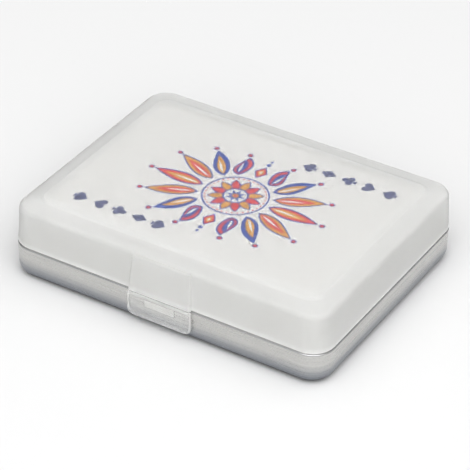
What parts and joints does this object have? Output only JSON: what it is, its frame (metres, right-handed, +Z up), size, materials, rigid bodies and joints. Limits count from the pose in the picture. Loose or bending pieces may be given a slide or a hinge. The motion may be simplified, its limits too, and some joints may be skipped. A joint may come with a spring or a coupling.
{
  "type": "playing card case",
  "caption": "Slim gift case for a deck of playing cards: pressed metal shell, inner tray, hinged frosted lid with a raised panel, and a flap latch at the front.",
  "frame": {"origin": "on the surface that the case stands on, under the centre of the case", "axes": "+X along the long side, -Y towards the front with the latch, +Z up"},
  "size_m": [0.1006, 0.0789, 0.0231],
  "materials": {
    "aluminium": "satin, pressed",
    "frosted_plastic": "frosted, translucent, fine grain",
    "tray_plastic": "moulded, translucent white",
    "card_stock": "coated card with a light sheen"
  },
  "bodies": {
    "case": {"aluminium_shell": "aluminium", "inner_tray": "tray_plastic", "lid_hinge_web": "frosted_plastic", "bottom_card": "card_stock", "club_cards": "card_stock", "diamond_cards": "card_stock", "heart_cards": "card_stock", "spade_cards": "card_stock", "top_card": "card_stock"},
    "lid": {"lid": "frosted_plastic", "latch_hinge_web": "frosted_plastic"},
    "latch": {"latch_flap": "frosted_plastic"}
  },
  "joints": [
    {"name": "lid_hinge", "type": "hinge", "parent": "case", "child": "lid", "pos_m": [0, 0.0391, 0.01043], "axis": [-1, 0, 0], "range_deg": [0, 150], "deforming": ["lid_hinge_web"]},
    {"name": "latch_hinge", "type": "hinge", "parent": "lid", "child": "latch", "pos_m": [0, -0.0392, 0.00996], "axis": [-1, 0, 0], "range_deg": [0, 100], "deforming": ["latch_hinge_web"]}
  ]
}
